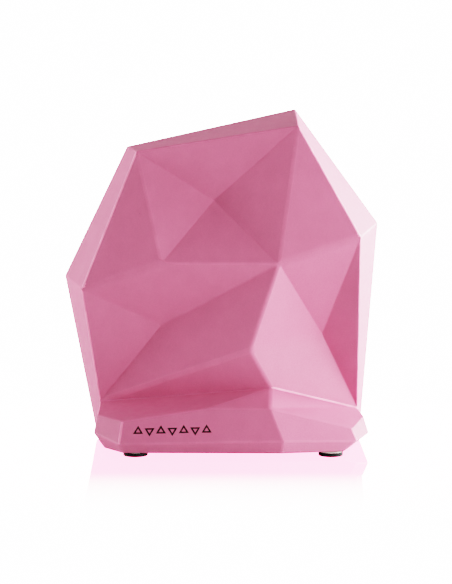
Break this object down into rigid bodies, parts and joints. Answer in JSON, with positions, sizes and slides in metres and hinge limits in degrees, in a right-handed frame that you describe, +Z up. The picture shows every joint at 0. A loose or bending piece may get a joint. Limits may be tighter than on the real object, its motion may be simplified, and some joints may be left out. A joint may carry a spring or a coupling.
{
  "type": "bookend",
  "caption": "Heavy one-piece cast bookend: a faceted, crystal-like slab with a flat back rising from a faceted ledge, standing on round stick-on rubber pads.",
  "frame": {"origin": "on the table surface, under the middle of the overall box", "axes": "+Z up; +X to the right of a person facing the faceted front; +Y towards the flat back, so the faceted front and its ledge face -Y"},
  "size_m": [0.16, 0.062, 0.168],
  "materials": {
    "cast_mix": "satin",
    "mark_fill": "satin",
    "pad_rubber": "matte",
    "pad_film": "satin"
  },
  "bodies": {
    "root": {"cast_body": "cast_mix", "ledge_mark": "mark_fill", "pad_front_left": "pad_rubber", "film_front_left": "pad_film", "pad_front_right": "pad_rubber", "film_front_right": "pad_film", "pad_rear_left": "pad_rubber", "film_rear_left": "pad_film", "pad_rear_right": "pad_rubber", "film_rear_right": "pad_film"}
  },
  "joints": []
}
